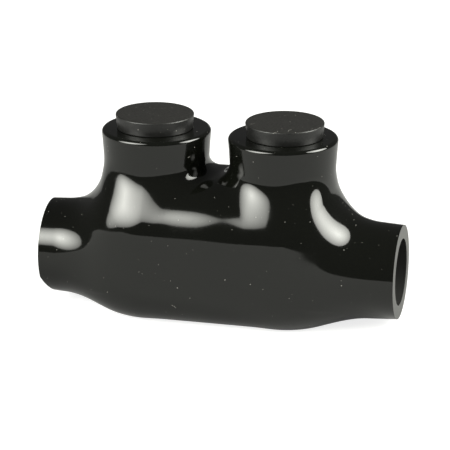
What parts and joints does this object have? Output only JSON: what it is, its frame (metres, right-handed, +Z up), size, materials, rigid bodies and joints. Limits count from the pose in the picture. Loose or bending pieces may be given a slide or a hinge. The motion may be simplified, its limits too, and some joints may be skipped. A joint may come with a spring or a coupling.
{
  "type": "insulated inline splice connector",
  "caption": "Black moulded in-line cable splice: a cable port at each end and a plugged access tower over each set screw of the aluminium bar inside.",
  "frame": {"origin": "on the base, under the middle of the overall box", "axes": "+X along the cables towards the longer port, +Z up along the towers, -Y towards the viewer of the picture"},
  "size_m": [0.0904, 0.0366, 0.0504],
  "materials": {
    "cover_vinyl": "glossy dip-moulded black vinyl",
    "plug_vinyl": "matte moulded black vinyl",
    "block_aluminium": "extruded, bright, tin plated",
    "screw_aluminium": "turned and threaded"
  },
  "bodies": {
    "splice_body": {"insulating_cover": "cover_vinyl", "connector_block": "block_aluminium"},
    "left_screw": {"left_set_screw": "screw_aluminium"},
    "right_screw": {"right_set_screw": "screw_aluminium"},
    "left_plug": {"left_access_plug": "plug_vinyl"},
    "right_plug": {"right_access_plug": "plug_vinyl"}
  },
  "joints": [
    {"name": "left_plug_pull", "type": "slide", "parent": "splice_body", "child": "left_plug", "axis": [0, 0, 1], "range_m": [0, 0.012]},
    {"name": "right_plug_pull", "type": "slide", "parent": "splice_body", "child": "right_plug", "axis": [0, 0, 1], "range_m": [0, 0.012]},
    {"name": "left_screw_drive", "type": "slide", "parent": "splice_body", "child": "left_screw", "axis": [0, 0, -1], "range_m": [0, 0.008]},
    {"name": "right_screw_drive", "type": "slide", "parent": "splice_body", "child": "right_screw", "axis": [0, 0, -1], "range_m": [0, 0.008]}
  ]
}
